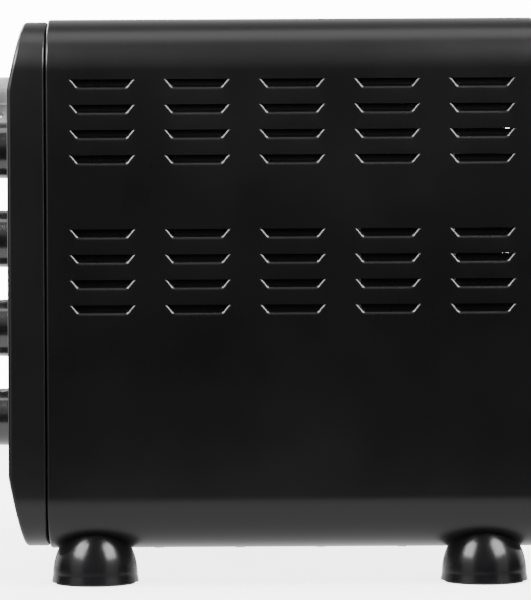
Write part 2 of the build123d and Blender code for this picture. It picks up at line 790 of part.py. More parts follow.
with BuildPart() as door_hollow:
    add(door_block(door_wall, door_rear + 1).part)
    rod_along(facing(glass_rear), retainer_screw_places, 3.5, 20, mode=Mode.SUBTRACT)
    rod_along(facing(panel_y), panel_screw_places, 4.0, 20, mode=Mode.SUBTRACT)
    for x in (door_left, door_right - 12.5):
        rod_along(across(x), [(hinge_y, hinge_z)], 5.0, 12.5, mode=Mode.SUBTRACT)

door_outer = door_block(0, door_rear)
rivet_places = [(front_y + 9.5, hinge_z + dz) for dz in (48.0, 60.0)]
with BuildPart() as door_frame:
    add(door_outer.part)
    front_edges = door_frame.edges().filter_by(lambda e: e.center().Y < door_rear - 9)
    front_edges = front_edges.filter_by(lambda e: abs(e.tangent_at(0.5).Y) < 0.99)
    front_edges = front_edges.filter_by(
        lambda e: not (abs(e.tangent_at(0).X) > 0.99 and abs(e.center().Z - brow_z) < 1)
    )
    fillet(front_edges, 1.8)
    add(door_hollow.part, mode=Mode.SUBTRACT)
    with BuildSketch(facing(door_rear)):
        rounded_opening(*view_x, *view_z, 8)
    extrude(amount=20, mode=Mode.SUBTRACT)
    rod_along(facing(glass_rear), retainer_screw_places, 1.3, 3.5, mode=Mode.SUBTRACT)
    rod_along(facing(panel_y), panel_screw_places, 1.3, 8, mode=Mode.SUBTRACT)
    for x in (door_left - 1, door_right + 1 - 13):
        rod_along(across(x), [(hinge_y, hinge_z)], hinge_pin_radius, 13, mode=Mode.SUBTRACT)
    for x in (door_left - 1, door_right - 3):
        rod_along(across(x), rivet_places, 1.5, 4, mode=Mode.SUBTRACT)
    handle_screw_places = [
        (door_centre_x + side * bracket_offset, toe_screw_z) for side in (-1, 1)
    ]
    rod_along(facing(door_face_wall + 1), handle_screw_places, 1.6, 5, mode=Mode.SUBTRACT)
export(door_frame, "door_frame")

with BuildPart() as door_glass:
    with BuildSketch(facing(glass_rear)):
        rounded_opening(*glass_x, *glass_z, 6)
    extrude(amount=glass_thickness)
    chamfer(door_glass.edges().filter_by(Axis.Y, reverse=True), 0.4)
export(door_glass, "door_glass")

with BuildPart() as glass_retainer:
    with BuildSketch(facing(glass_rear + 1.2)):
        rounded_opening(glass_x[0] - 11, glass_x[1] + 11, glass_z[0] - 4, glass_z[1] + 3, 6)
        rounded_opening(
            view_x[0] - 2, view_x[1] + 2, view_z[0] - 2, view_z[1] + 2, 8, mode=Mode.SUBTRACT
        )
        with Locations(*retainer_screw_places):
            Circle(1.4, mode=Mode.SUBTRACT)
    extrude(amount=1.2)
export(glass_retainer, "glass_retainer")

retainer_planes = [
    Plane(origin=(x, glass_rear + 1.2, z), x_dir=(1, 0, 0), z_dir=(0, 1, 0))
    for x, z in retainer_screw_places
]
screw_group("retainer_screws", pan_screw(3.0, 1.6, 1.2, 4), retainer_planes)

with BuildPart() as door_inner_panel:
    with BuildSketch(facing(panel_y + sheet)):
        rounded_opening(-235.8, 119.8, door_bottom + 4, door_top - 4, 4)
        rounded_opening(view_x[0] + 3, view_x[1] - 3, view_z[0] + 3, view_z[1] - 3, 8, mode=Mode.SUBTRACT)
        with Locations(*panel_screw_places):
            Circle(1.6, mode=Mode.SUBTRACT)
    extrude(amount=sheet)
    with BuildSketch(facing(panel_y)):  # turned flange around the window
        rounded_opening(view_x[0] + 2.2, view_x[1] - 2.2, view_z[0] + 2.2, view_z[1] - 2.2, 8.8)
        rounded_opening(view_x[0] + 3, view_x[1] - 3, view_z[0] + 3, view_z[1] - 3, 8, mode=Mode.SUBTRACT)
    extrude(amount=6)
export(door_inner_panel, "door_inner_panel")

panel_planes = [
    Plane(origin=(x, panel_y + sheet, z), x_dir=(1, 0, 0), z_dir=(0, 1, 0))
    for x, z in panel_screw_places
]
screw_group("door_panel_screws", pan_screw(3.2, 1.6, 1.25, 8), panel_planes)

with BuildPart() as hinge_pins:
    for x in (-249.8, door_right - 12):
        rod_along(across(x), [(hinge_y, hinge_z)], hinge_pin_radius, 21)
export(hinge_pins, "hinge_pins")

for name, x in (("hinge_bracket_left", -250.0), ("hinge_bracket_right", 130.4)):
    with BuildPart() as hinge_bracket:
        box_between(x, x + 3, front_y + 2.8, chassis_y, hinge_z - 12, hinge_z + 12)
        rod_along(
            across(x), [(hinge_y, hinge_z)], hinge_pin_radius + running_gap, 3, mode=Mode.SUBTRACT
        )
    export(hinge_bracket, name)

for name, x in (("door_arm_left", arm_left), ("door_arm_right", arm_right)):
    with BuildPart() as door_arm:
        with BuildSketch(across(x)):
            with BuildLine():
                outer_arc = CenterArc((hinge_y, hinge_z), arm_radii[1], hook_angle, 88 - hook_angle)
                inner_arc = CenterArc((hinge_y, hinge_z), arm_radii[0], hook_angle, 88 - hook_angle)
                Line(outer_arc @ 0, inner_arc @ 0)
                Line(outer_arc @ 1, inner_arc @ 1)
            make_face()
            with BuildLine():  # the hook that stops the open door
                hook_inner = CenterArc((hinge_y, hinge_z), arm_radii[0] - 4, hook_angle, 4)
                hook_outer = CenterArc((hinge_y, hinge_z), arm_radii[0] + 1, hook_angle, 4)
                Line(hook_outer @ 0, hook_inner @ 0)
                Line(hook_outer @ 1, hook_inner @ 1)
            make_face()
            with Locations((front_y + 9.5, hinge_z + 55)):
                Rectangle(14, 26)
        extrude(amount=arm_thickness)
        rod_along(across(x), rivet_places, 1.5, arm_thickness, mode=Mode.SUBTRACT)
    export(door_arm, name)

with BuildPart() as arm_rivets:
    for x, outward in ((door_left, -1), (door_right, 1)):
        for y, z in rivet_places:
            with BuildPart(
                Plane(origin=(x, y, z), x_dir=(0, 1, 0), z_dir=(outward, 0, 0)), mode=Mode.PRIVATE
            ) as rivet:
                Cylinder(2.6, 1.0, align=(Align.CENTER, Align.CENTER, Align.MIN))
                fillet(rivet.faces().sort_by(Axis.X)[-1 if outward > 0 else 0].edges(), 0.6)
                Cylinder(1.5, 4.1, align=(Align.CENTER, Align.CENTER, Align.MAX))
            add(rivet.part)
export(arm_rivets, "arm_rivets")

# ---------------------------------------------------------------- handle
with BuildPart() as handle_bar:
    rod_along(
        across(door_centre_x - handle_half + 4), [(handle_y, handle_z)], handle_radius,
        2 * handle_half - 8,
    )
    rod_along(
        across(door_centre_x - handle_half), [(handle_y, handle_z)], handle_radius - 1.5,
        2 * handle_half, mode=Mode.SUBTRACT,
    )
export(handle_bar, "handle_bar")

with BuildPart() as handle_end_caps:
    for side in (-1, 1):
        with BuildPart(
            Plane(
                origin=(door_centre_x + side * (handle_half - 4), handle_y, handle_z),
                x_dir=(0, 1, 0), z_dir=(side, 0, 0),
            ),
            mode=Mode.PRIVATE,
        ) as end_cap:
            Cylinder(handle_radius, 4, align=(Align.CENTER, Align.CENTER, Align.MIN))
            fillet(end_cap.faces().sort_by(Axis.X)[-1 if side > 0 else 0].edges(), 2.4)
            Cylinder(handle_radius - 1.5, 8, align=(Align.CENTER, Align.CENTER, Align.MAX))
        add(end_cap.part)
export(handle_end_caps, "handle_end_caps")

bracket_height = 19.5
toe_front = front_y - 26.0
toe_bottom = toe_screw_z - 5.0
grub_hole = (front_y - 21.5, toe_screw_z)
for name, side in (("handle_bracket_left", -1), ("handle_bracket_right", 1)):
    centre = door_centre_x + side * bracket_offset
    with BuildPart() as bracket:
        box_between(
            centre - bracket_half, centre + bracket_half, handle_y, front_y + 6,
            handle_z - bracket_height / 2, handle_z + bracket_height / 2,
        )
        fillet(bracket.edges().filter_by(Axis.Y), 1.2)
        box_between(
            centre - bracket_half + 1, centre + bracket_half - 1, toe_front, front_y + 2,
            toe_bottom, handle_z - bracket_height / 2 + 3,
        )
        fillet(bracket.faces().sort_by(Axis.Z)[0].edges().filter_by(Axis.X), 3)
        rod_along(
            across(centre - bracket_half), [(handle_y, handle_z)], handle_radius,
            2 * bracket_half, mode=Mode.SUBTRACT,
        )
        rod_along(
            across(centre - bracket_half), [grub_hole], 1.7, 2 * bracket_half, mode=Mode.SUBTRACT
        )
        add(door_outer.part, mode=Mode.SUBTRACT)
        rod_along(facing(front_y + 2), [(centre, toe_screw_z)], 1.6, 14, mode=Mode.SUBTRACT)
    export(bracket, name)

inside_door = [
    Plane(origin=(x, door_face_wall, z), x_dir=(1, 0, 0), z_dir=(0, 1, 0))
    for x, z in handle_screw_places
]
screw_group("handle_screws", pan_screw(3.2, 1.8, 1.5, 12), inside_door)

# ---------------------------------------------------------------- wire rack and crumb tray
rack_left, rack_right = cavity_left + 3.4, cavity_right - 3.4  # rail centre lines
rack_front, rack_back = -112.0, 150.0
rack_z = rack_levels[1] + running_gap + rack_rail_radius
rack_wire_radius = 1.5
rack_wires = 19

with BuildPart() as wire_rack:
    for y in (rack_front, rack_back):
        rod_along(across(rack_left), [(y, rack_z)], rack_rail_radius, rack_right - rack_left)
    for x in (rack_left, rack_right):
        rod_along(facing(rack_back), [(x, rack_z)], rack_rail_radius, rack_back - rack_front)
        for y in (rack_front, rack_back):
            with Locations((x, y, rack_z)):
                Sphere(rack_rail_radius)
    wire_pitch = (rack_right - rack_left) / (rack_wires + 1)
    rod_along(
        facing(rack_back), [(rack_left + wire_pitch * (i + 1), rack_z) for i in range(rack_wires)],
        rack_wire_radius, rack_back - rack_front,
    )
    rod_along(
        across(rack_left), [((rack_front + rack_back) / 2, rack_z)], rack_rail_radius,
        rack_right - rack_left,
    )
export(wire_rack, "wire_rack")

tray_z = cavity_floor + running_gap
tray_back = 150.0
tray_wall_top = tray_z + 7.0
tray_panel_z = (47.0, 65.0)
with BuildPart() as crumb_tray:
    with BuildSketch(across(tray_left)):
        with BuildLine():
            Polyline(
                (chin_y(tray_panel_z[1], 0.5), tray_panel_z[1]),
                (chin_y(tray_panel_z[1], 1.7), tray_panel_z[1]),
                (chin_y(tray_panel_z[0], 1.7), tray_panel_z[0]),
                (chin_y(tray_panel_z[0], 0.5), tray_panel_z[0]),
                close=True,
            )
        make_face()
    extrude(amount=tray_right - tray_left)
    box_between(tray_left, tray_right, front_y + 4.7, tray_back, tray_z, tray_wall_top)
    box_between(
        tray_left + sheet, tray_right - sheet, front_y + 5.5, tray_back - sheet,
        tray_z + sheet, tray_wall_top + 1, mode=Mode.SUBTRACT,
    )
    with BuildSketch(facing(front_y + 8)):  # finger notch in the front panel
        with Locations((door_centre_x, tray_panel_z[1])):
            SlotOverall(70, 14)
    extrude(amount=10, mode=Mode.SUBTRACT)
export(crumb_tray, "crumb_tray")
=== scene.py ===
import json
import math

import bmesh
import bpy
from mathutils import Matrix, Vector


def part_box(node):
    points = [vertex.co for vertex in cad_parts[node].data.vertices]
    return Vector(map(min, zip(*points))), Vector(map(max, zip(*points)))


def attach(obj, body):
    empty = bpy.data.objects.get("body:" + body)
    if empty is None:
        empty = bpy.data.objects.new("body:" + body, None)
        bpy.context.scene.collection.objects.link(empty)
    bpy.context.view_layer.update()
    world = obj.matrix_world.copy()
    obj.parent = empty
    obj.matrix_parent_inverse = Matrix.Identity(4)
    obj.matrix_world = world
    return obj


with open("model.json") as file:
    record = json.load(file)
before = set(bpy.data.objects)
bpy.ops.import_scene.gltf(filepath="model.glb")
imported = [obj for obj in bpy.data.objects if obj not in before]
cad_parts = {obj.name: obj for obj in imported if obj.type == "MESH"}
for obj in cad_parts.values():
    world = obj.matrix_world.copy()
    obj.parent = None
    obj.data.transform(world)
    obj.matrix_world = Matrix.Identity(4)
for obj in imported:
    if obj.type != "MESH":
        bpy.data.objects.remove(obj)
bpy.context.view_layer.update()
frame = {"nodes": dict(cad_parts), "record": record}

NODES = frame["nodes"]


# ---------------------------------------------------------------- material helpers
def new_material(name):
    """A new node material, with its node tree and its Principled shader."""
    material = bpy.data.materials.new(name)
    material.use_nodes = True
    tree = material.node_tree
    shader = tree.nodes["Principled BSDF"]
    return material, tree, shader


def add_node(tree, kind, **values):
    """A node with its plain properties and its unlinked inputs set by name."""
    node = tree.nodes.new(kind)
    for key, value in values.items():
        if key in node.inputs:
            node.inputs[key].default_value = value
        else:
            setattr(node, key, value)
    return node


def object_point(tree, scale=(1.0, 1.0, 1.0)):
    """Object coordinates in metres, stretched by a scale for each axis."""
    coordinates = add_node(tree, "ShaderNodeTexCoord")
    mapping = add_node(tree, "ShaderNodeMapping")
    mapping.inputs["Scale"].default_value = scale
    tree.links.new(coordinates.outputs["Object"], mapping.inputs["Vector"])
    return mapping.outputs["Vector"]


def noise(tree, point, scale, detail=3.0, roughness=0.5):
    """Noise from 0 to 1; the scale is in features per metre."""
    node = add_node(tree, "ShaderNodeTexNoise", Scale=scale, Detail=detail, Roughness=roughness)
    tree.links.new(point, node.inputs["Vector"])
    return node.outputs["Fac"]


def ramp(tree, value, low, high, low_out, high_out):
    """A value from low..high mapped to low_out..high_out, held at both ends."""
    node = add_node(tree, "ShaderNodeMapRange")
    node.inputs["From Min"].default_value = low
    node.inputs["From Max"].default_value = high
    node.inputs["To Min"].default_value = low_out
    node.inputs["To Max"].default_value = high_out
    tree.links.new(value, node.inputs["Value"])
    return node.outputs["Result"]


def maths(tree, operation, first, second=None):
    """One Math node on one or two values."""
    node = add_node(tree, "ShaderNodeMath", operation=operation)
    tree.links.new(first, node.inputs[0])
    if second is not None:
        tree.links.new(second, node.inputs[1])
    return node.outputs[0]


def mix_colour(tree, factor, first, second):
    """Two colours, plain or linked, mixed by a factor."""
    node = add_node(tree, "ShaderNodeMix", data_type="RGBA")
    tree.links.new(factor, node.inputs[0])
    for socket, value in ((node.inputs[6], first), (node.inputs[7], second)):
        if isinstance(value, bpy.types.NodeSocket):
            tree.links.new(value, socket)
        else:
            socket.default_value = (*value, 1.0)
    return node.outputs[2]


def bump(tree, shader, height, distance, strength):
    """Fine relief from a height value; the distance is in metres."""
    node = add_node(tree, "ShaderNodeBump", Strength=strength, Distance=distance)
    tree.links.new(height, node.inputs["Height"])
    tree.links.new(node.outputs["Normal"], shader.inputs["Normal"])


ORANGE_PEEL = 0.00001  # depth of the paint's fine relief
DUST_COLOUR = (0.16, 0.16, 0.16)
ROLLED_GRAIN = (3.0, 160.0, 160.0)  # the rolling grain runs along X
GLASS_HAZE = 0.03  # how much rougher the haziest patches of glass are


def paint(name, colour, roughness, specular=0.28):
    """Sprayed paint: fine orange peel, faint smudges, and a few specks of dust."""
    material, tree, shader = new_material(name)
    point = object_point(tree)
    smudge = noise(tree, point, 9.0, 4.0, 0.6)
    fine = noise(tree, point, 1400.0, 2.0)
    dust = noise(tree, point, 520.0, 1.0)
    base = mix_colour(tree, ramp(tree, dust, 0.78, 0.82, 0.0, 0.06), colour, DUST_COLOUR)
    tree.links.new(base, shader.inputs["Base Color"])
    rough = ramp(tree, smudge, 0.3, 0.7, roughness - 0.03, roughness + 0.03)
    tree.links.new(rough, shader.inputs["Roughness"])
    shader.inputs["Specular IOR Level"].default_value = specular
    bump(tree, shader, fine, ORANGE_PEEL, 0.6)
    return material


def sheet_metal(name, colour, roughness, spangle=0.0):
    """Bare sheet steel: long rolling grain, with zinc spangle where it is galvanised."""
    material, tree, shader = new_material(name)
    grain = noise(tree, object_point(tree, ROLLED_GRAIN), 6.0, 4.0, 0.7)
    cloud = noise(tree, object_point(tree), 14.0, 4.0, 0.6)
    dull = tuple(c * 0.72 for c in colour)
    base = mix_colour(tree, ramp(tree, cloud, 0.3, 0.7, 0.0, 1.0), dull, colour)
    if spangle:
        cells = add_node(tree, "ShaderNodeTexVoronoi", Scale=130.0)
        tree.links.new(object_point(tree), cells.inputs["Vector"])
        tint = add_node(tree, "ShaderNodeSeparateColor")
        tree.links.new(cells.outputs["Color"], tint.inputs["Color"])
        bright = tuple(min(1.0, c * 1.25) for c in colour)
        base = mix_colour(tree, ramp(tree, tint.outputs[0], 0.0, 1.0, 0.0, spangle), base, bright)
    tree.links.new(base, shader.inputs["Base Color"])
    shader.inputs["Metallic"].default_value = 1.0
    rough = ramp(tree, grain, 0.25, 0.75, roughness - 0.07, roughness + 0.07)
    tree.links.new(rough, shader.inputs["Roughness"])
    bump(tree, shader, grain, 0.00002, 0.5)
    return material


def plated(name, colour, roughness, grain_scale=(1.0, 1.0, 1.0)):
    """Plated metal with faint brushing and handling marks."""
    material, tree, shader = new_material(name)
    marks = noise(tree, object_point(tree, grain_scale), 60.0, 4.0, 0.65)
    dull = tuple(c * 0.86 for c in colour)
    base = mix_colour(tree, ramp(tree, marks, 0.3, 0.75, 0.0, 1.0), dull, colour)
    tree.links.new(base, shader.inputs["Base Color"])
    shader.inputs["Metallic"].default_value = 1.0
    rough = ramp(tree, marks, 0.3, 0.7, roughness - 0.04, roughness + 0.05)
    tree.links.new(rough, shader.inputs["Roughness"])
    bump(tree, shader, marks, 0.000008, 0.4)
    return material


def moulded(name, colour, roughness, texture=900.0, depth=0.00001, coat=0.0, specular=0.5):
    """Moulded plastic, rubber or ceramic with a fine skin and slight colour drift."""
    material, tree, shader = new_material(name)
    point = object_point(tree)
    drift = noise(tree, point, 30.0, 3.0)
    skin = noise(tree, point, texture, 3.0)
    light = tuple(min(1.0, c * 1.3) for c in colour)
    base = mix_colour(tree, ramp(tree, drift, 0.3, 0.7, 0.0, 1.0), colour, light)
    tree.links.new(base, shader.inputs["Base Color"])
    rough = ramp(tree, drift, 0.3, 0.7, roughness - 0.03, roughness + 0.04)
    tree.links.new(rough, shader.inputs["Roughness"])
    shader.inputs["Coat Weight"].default_value = coat
    shader.inputs["Coat Roughness"].default_value = 0.05
    shader.inputs["Specular IOR Level"].default_value = specular
    bump(tree, shader, skin, depth, 0.5)
    return material


def silver_lacquer(name):
    """Silver-sprayed casting: fine flakes in a pale grey coat."""
    material, tree, shader = new_material(name)
    point = object_point(tree)
    flake = noise(tree, point, 2600.0, 1.0)
    cloud = noise(tree, point, 40.0, 3.0)
    coat, glitter = (0.6, 0.6, 0.61), (0.78, 0.78, 0.79)
    base = mix_colour(tree, ramp(tree, flake, 0.35, 0.65, 0.0, 1.0), coat, glitter)
    tree.links.new(base, shader.inputs["Base Color"])
    shader.inputs["Metallic"].default_value = 0.45
    tree.links.new(ramp(tree, cloud, 0.3, 0.7, 0.3, 0.4), shader.inputs["Roughness"])
    shader.inputs["Coat Weight"].default_value = 0.4
    shader.inputs["Coat Roughness"].default_value = 0.15
    bump(tree, shader, flake, 0.000006, 0.4)
    return material


def clear_glass(name, colour, roughness=0.02):
    """Clear glass or lens plastic, with a faint uneven haze."""
    material, tree, shader = new_material(name)
    haze = noise(tree, object_point(tree), 22.0, 5.0, 0.65)
    shader.inputs["Base Color"].default_value = (*colour, 1.0)
    shader.inputs["Transmission Weight"].default_value = 1.0
    shader.inputs["IOR"].default_value = 1.5
    rough = ramp(tree, haze, 0.45, 0.75, roughness, roughness + GLASS_HAZE)
    tree.links.new(rough, shader.inputs["Roughness"])
    return material


def heater_sheath(name):
    """Oxidised heater tube: dull grey with darker, browner blotches."""
    material, tree, shader = new_material(name)
    point = object_point(tree)
    blotch = noise(tree, point, 90.0, 5.0, 0.65)
    burnt, grey = (0.075, 0.066, 0.06), (0.2, 0.19, 0.18)
    base = mix_colour(tree, ramp(tree, blotch, 0.35, 0.7, 0.0, 1.0), burnt, grey)
    tree.links.new(base, shader.inputs["Base Color"])
    shader.inputs["Metallic"].default_value = 0.6
    tree.links.new(ramp(tree, blotch, 0.3, 0.7, 0.42, 0.62), shader.inputs["Roughness"])
    bump(tree, shader, blotch, 0.00005, 0.5)
    return material


# ---------------------------------------------------------------- materials by record slot
SLOT_MATERIALS = {
    "black_enamel": paint("satin_black_paint", (0.0018, 0.0017, 0.0021), 0.29),
    "zinc_steel": sheet_metal("galvanised_sheet", (0.55, 0.56, 0.58), 0.36, spangle=0.6),
    "cavity_steel": sheet_metal("aluminised_sheet", (0.6, 0.6, 0.6), 0.3),
    "fastener_steel": plated("plated_fastener", (0.62, 0.62, 0.6), 0.26),
    "dark_screw": plated("blackened_screw", (0.05, 0.05, 0.055), 0.35),
    "gloss_black_plastic": moulded(
        "gloss_black_moulding", (0.004, 0.004, 0.0045), 0.2, 700.0, 0.000012, specular=0.16
    ),
    "rubber_pad": moulded("black_rubber", (0.018, 0.018, 0.019), 0.72, 420.0, 0.00006),
    "fascia_black": paint("fascia_paint", (0.009, 0.009, 0.0095), 0.3),
    "amber_lens": clear_glass("amber_lens_plastic", (1.0, 0.32, 0.05), 0.08),
    "lamp_glass": clear_glass("lamp_glass", (0.95, 0.9, 0.85)),
    "element_sheath": heater_sheath("heater_sheath"),
    "ceramic_white": moulded("glazed_steatite", (0.72, 0.7, 0.64), 0.45, 500.0, 0.00002),
    "phenolic_plastic": moulded("phenolic_moulding", (0.03, 0.026, 0.023), 0.5, 800.0, 0.00002),
    "door_glass": clear_glass("tempered_glass", (0.93, 0.96, 0.95)),
    "satin_chrome": plated("satin_chrome_plate", (0.76, 0.76, 0.77), 0.24, (0.1, 6.0, 6.0)),
    "rack_chrome": plated("bright_wire", (0.68, 0.68, 0.69), 0.2),
    "knob_plastic": moulded("gloss_knob_moulding", (0.008, 0.008, 0.0085), 0.2, 800.0, 0.000006, 0.4),
}
NODE_MATERIALS = {
    "front_frame": paint("frame_enamel", (0.0018, 0.0018, 0.002), 0.32, specular=0.3),
    "door_frame": paint("door_enamel", (0.0018, 0.0018, 0.002), 0.31, specular=0.3),
    "handle_bracket_left": silver_lacquer("bracket_lacquer_left"),
    "handle_bracket_right": silver_lacquer("bracket_lacquer_right"),
}
SLOT_OF = {entry["node"]: entry["material_slot"] for entry in frame["record"]["subparts"]}


CREASE_ANGLE = math.radians(30)  # sharper edges than this stay creased
WELD_DISTANCE = 0.00001


def soften(node_object):
    """Smooth shading across a CAD node, with its real creases kept.

    The node's stored normals and flat shading are dropped from its mesh data; its vertices, edges and
    faces are left as they are. The welding and the creases are modifiers.
    """
    attribute = node_object.data.attributes.get("custom_normal")
    if attribute is not None:
        node_object.data.attributes.remove(attribute)
    node_object.data.shade_smooth()
    weld = node_object.modifiers.new("weld", "WELD")
    weld.merge_threshold = WELD_DISTANCE
    split = node_object.modifiers.new("creases", "EDGE_SPLIT")
    split.split_angle = CREASE_ANGLE
    split.use_edge_sharp = False
    weighted = node_object.modifiers.new("weighted", "WEIGHTED_NORMAL")
    weighted.keep_sharp = True
    weighted.weight = 80


for node_name, node_object in NODES.items():
    node_object.data.materials.clear()
    look = NODE_MATERIALS.get(node_name) or SLOT_MATERIALS[SLOT_OF[node_name]]
    node_object.data.materials.append(look)
    soften(node_object)


# ---------------------------------------------------------------- printed dial marks
PRINT = 0.00008  # thickness of the printed marks
FASCIA_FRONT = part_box("control_fascia")[0].y
ARC_RADIUS = 0.0213
ARC_WIDTH = 0.00035
ARC_STEPS = 60
LABEL_RADIUS = 0.0277
LABEL_HEIGHT = 0.0046
LONG_TICK = (0.0028, 0.0008)  # length and width
SHORT_TICK = (0.0018, 0.0005)
TICK_GAP = 0.0006  # from the arc's inner edge to the ticks
SIGN_SIZE = (0.0062, 0.005)  # width and height of the small oven outline
SIGN_LINE = 0.0004
SIGN_BAR_HEIGHT = 0.0007
SIGN_SHIFT = 0.0015  # outwards from the place of a number
# each dial: its sweep in degrees, its intervals, how many intervals to a label, and its labels
DIALS = {
    "upper_heat": (270, 10, 2, ["0", "50", "100", "150", "200", "250"]),
    "lower_heat": (270, 10, 2, ["0", "50", "100", "150", "200", "250"]),
    "function": (180, 3, 1, ["0", "lower", "upper", "both"]),
    "timer": (300, 12, 3, ["0", "15", "30", "45", "60"]),
}


def ink(name, colour):
    """Screen-printed ink: matt, a little uneven, with the odd pinhole."""
    material, tree, shader = new_material(name)
    point = object_point(tree)
    grain = noise(tree, point, 900.0, 3.0)
    faded = tuple(c * 0.8 for c in colour)
    tree.links.new(
        mix_colour(tree, ramp(tree, grain, 0.4, 0.6, 0.0, 1.0), faded, colour), shader.inputs["Base Color"]
    )
    tree.links.new(ramp(tree, grain, 0.3, 0.7, 0.5, 0.62), shader.inputs["Roughness"])
    bump(tree, shader, grain, 0.00001, 0.4)
    return material


def add_bar(shape, centre, angle, size):
    """A printed bar of a given width and height, turned clockwise as seen from the front."""
    half_x, half_z = size[0] / 2, size[1] / 2
    corners = [(-half_x, -half_z), (half_x, -half_z), (half_x, half_z), (-half_x, half_z)]
    layers = []
    for y in (FASCIA_FRONT, FASCIA_FRONT - PRINT):
        layers.append([
            shape.verts.new((
                centre[0] + x * math.cos(angle) + z * math.sin(angle),
                y,
                centre[1] - x * math.sin(angle) + z * math.cos(angle),
            ))
            for x, z in corners
        ])
    back, front = layers
    shape.faces.new(front)
    shape.faces.new(back[::-1])
    for i in range(4):
        shape.faces.new((back[i], back[(i + 1) % 4], front[(i + 1) % 4], front[i]))


def add_arc(shape, centre, radius, width, sweep, steps):
    """A printed arc, clockwise from the top, as a run of short slabs that share their ends."""
    rings = []
    for i in range(steps + 1):
        angle = math.radians(sweep) * i / steps
        rings.append([
            shape.verts.new((centre[0] + r * math.sin(angle), y, centre[1] + r * math.cos(angle)))
            for r, y in (
                (radius, FASCIA_FRONT), (radius + width, FASCIA_FRONT),
                (radius + width, FASCIA_FRONT - PRINT), (radius, FASCIA_FRONT - PRINT),
            )
        ])
    for first, second in zip(rings, rings[1:]):
        for i in range(4):
            shape.faces.new((first[i], first[(i + 1) % 4], second[(i + 1) % 4], second[i]))
    shape.faces.new(rings[0][::-1])
    shape.faces.new(rings[-1])


def add_number(shape, text, centre, size):
    """A number from the built-in font as a thin printed slab."""
    curve = bpy.data.curves.new("number", "FONT")
    curve.body = text
    curve.size = size
    curve.align_x = "CENTER"
    curve.align_y = "CENTER"
    curve.extrude = PRINT / 2
    curve.resolution_u = 3
    holder = bpy.data.objects.new("number", curve)
    mesh = bpy.data.meshes.new_from_object(holder)
    upright = Matrix.Translation((centre[0], FASCIA_FRONT - PRINT / 2, centre[1]))
    mesh.transform(upright @ Matrix.Rotation(math.pi / 2, 4, "X"))
    shape.from_mesh(mesh)
    bpy.data.meshes.remove(mesh)
    bpy.data.objects.remove(holder)
    bpy.data.curves.remove(curve)


def add_oven_sign(shape, kind, centre):
    """A small oven outline with a bar for each element that is on."""
    width, height = SIGN_SIZE
    for side in (-1, 1):
        add_bar(shape, (centre[0] + side * width / 2, centre[1]), 0.0, (SIGN_LINE, height + SIGN_LINE))
        edge = (centre[0], centre[1] + side * height / 2)
        add_bar(shape, edge, 0.0, (width - SIGN_LINE, SIGN_LINE))
        if kind == "both" or kind == ("upper" if side > 0 else "lower"):
            element = (centre[0], centre[1] + side * height * 0.27)
            add_bar(shape, element, 0.0, (width * 0.66, SIGN_BAR_HEIGHT))


def knob_centre(control):
    """The middle of a knob, as x and z."""
    low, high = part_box(f"knob_{control}")
    return (low.x + high.x) / 2, (low.z + high.z) / 2


def make_piece(name, shape, material, body, smooth=False):
    """A finished piece from a bmesh: normals outwards, one material, riding on a body."""
    bmesh.ops.recalc_face_normals(shape, faces=shape.faces)
    mesh = bpy.data.meshes.new(name)
    shape.to_mesh(mesh)
    shape.free()
    if smooth:
        mesh.shade_smooth()
    mesh.materials.append(material)
    piece = bpy.data.objects.new(name, mesh)
    bpy.context.scene.collection.objects.link(piece)
    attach(piece, body)
    return piece


def dial_marks(control, material):
    """The arc, ticks and labels printed around one dial."""
    sweep, intervals, labelled_every, labels = DIALS[control]
    centre = knob_centre(control)
    shape = bmesh.new()
    add_arc(shape, centre, ARC_RADIUS, ARC_WIDTH, sweep, ARC_STEPS)
    for i in range(intervals + 1):
        angle = math.radians(sweep) * i / intervals
        labelled = i % labelled_every == 0
        length, width = LONG_TICK if labelled else SHORT_TICK
        across, up = math.sin(angle), math.cos(angle)
        middle = ARC_RADIUS + TICK_GAP + length / 2
        place = (centre[0] + middle * across, centre[1] + middle * up)
        add_bar(shape, place, angle, (width, length))
        if labelled:
            label = labels[i // labelled_every]
            place = (centre[0] + LABEL_RADIUS * across, centre[1] + LABEL_RADIUS * up)
            if label.isdigit():
                add_number(shape, label, place, LABEL_HEIGHT)
            else:
                add_oven_sign(shape, label, (place[0] + SIGN_SHIFT * across, place[1]))
    make_piece(f"dial_marks_{control}", shape, material, "oven")


# ---------------------------------------------------------------- knob trims
TRIM_GAP = 0.00002  # between the knob and the ring
TRIM_THICKNESS = 0.0011
TRIM_DEPTH = 0.0026
TRIM_CORNER = 0.0004
TRIM_CREASE = math.radians(40)
POINTER_START = 0.0043  # from the middle of the knob
POINTER_END = 0.0147
POINTER_WIDTH = 0.00124
POINTER_THICKNESS = 0.0005
POINTER_DEPTH = 0.00034  # from the front of the knob to the middle of the inlay
POINTER_CORNER = 0.00015


def lathe(shape, centre, profile, steps=96):
    """A closed ring about the Y axis: the profile is (radius, y) points in order."""
    rings = []
    for i in range(steps):
        angle = 2 * math.pi * i / steps
        rings.append([
            shape.verts.new((centre[0] + r * math.sin(angle), y, centre[1] + r * math.cos(angle)))
            for r, y in profile
        ])
    count = len(profile)
    for i in range(steps):
        first, second = rings[i], rings[(i + 1) % steps]
        for j in range(count):
            shape.faces.new((first[j], first[(j + 1) % count], second[(j + 1) % count], second[j]))


def rounded_corner(centre_r, centre_y, radius, start, steps=5):
    """Points of a quarter turn in the (radius, y) plane, from a start angle in degrees."""
    return [
        (
            centre_r + radius * math.cos(math.radians(start + 90 * i / steps)),
            centre_y + radius * math.sin(math.radians(start + 90 * i / steps)),
        )
        for i in range(steps + 1)
    ]


